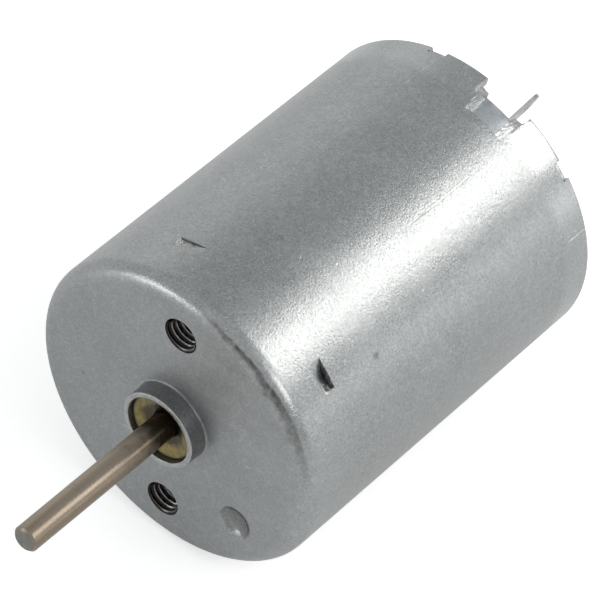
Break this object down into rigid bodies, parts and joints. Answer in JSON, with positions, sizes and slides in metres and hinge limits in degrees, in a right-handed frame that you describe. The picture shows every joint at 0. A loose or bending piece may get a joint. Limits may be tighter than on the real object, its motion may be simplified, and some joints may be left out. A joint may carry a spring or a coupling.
{
  "type": "brushed direct-current electric motor",
  "caption": "Small round brushed DC motor in a drawn steel can, with a plain output shaft, a locating boss and tapped holes in its front face, and solder tabs at the rear.",
  "frame": {"origin": "where the shaft axis meets the front mounting face of the can", "axes": "-Y out of the front face along the output shaft, +Y to the rear, +Z along the line through the two tapped holes, +X to the right seen from the front"},
  "size_m": [0.0244, 0.0502, 0.0244],
  "materials": {
    "can_steel": "zinc-plated drawn steel, satin, with fine draw marks",
    "bronze": "sintered bronze, oil-soaked, matt",
    "ferrite": "sintered ferrite, ground, matt",
    "spring_steel": "tempered spring steel, satin",
    "cap_steel": "zinc-plated pressed steel, satin",
    "base_plastic": "moulded nylon, matt",
    "tinned_brass": "tinned, satin",
    "arm_bronze": "phosphor bronze strip, satin",
    "carbon": "pressed graphite, matt",
    "shaft_steel": "ground and polished steel",
    "washer_plastic": "slippery plastic, smooth",
    "spacer_brass": "turned brass",
    "core_steel": "lacquered silicon steel sheet",
    "core_insulation": "insulating board, matt",
    "copper_wire": "enamelled copper wire, glossy",
    "phenolic": "phenolic moulding, matt",
    "bar_copper": "drawn copper, turned",
    "binding_fibre": "vulcanised fibre, matt",
    "varistor_ceramic": "sintered ceramic, silvered pads"
  },
  "bodies": {
    "stator": {"can": "can_steel", "front_bearing": "bronze", "magnet_a": "ferrite", "magnet_b": "ferrite", "magnet_spring_a": "spring_steel", "magnet_spring_b": "spring_steel", "end_cap": "cap_steel", "rear_bearing": "bronze", "brush_base": "base_plastic", "terminal_a": "tinned_brass", "terminal_b": "tinned_brass", "brush_arm_a": "arm_bronze", "brush_arm_b": "arm_bronze", "carbon_brush_a": "carbon", "carbon_brush_b": "carbon"},
    "rotor": {"shaft": "shaft_steel", "front_thrust_washers": "washer_plastic", "front_spacer": "spacer_brass", "rear_thrust_washers": "washer_plastic", "core_laminations": "core_steel", "core_insulators": "core_insulation", "winding_1": "copper_wire", "winding_2": "copper_wire", "winding_3": "copper_wire", "commutator_hub": "phenolic", "commutator_bar_1": "bar_copper", "commutator_bar_2": "bar_copper", "commutator_bar_3": "bar_copper", "commutator_binding": "binding_fibre", "varistor_ring": "varistor_ceramic"}
  },
  "joints": [
    {"name": "rotor_spin", "type": "hinge", "parent": "stator", "child": "rotor", "pos_m": [0, 0, 0], "axis": [0, -1, 0], "continuous": true}
  ]
}
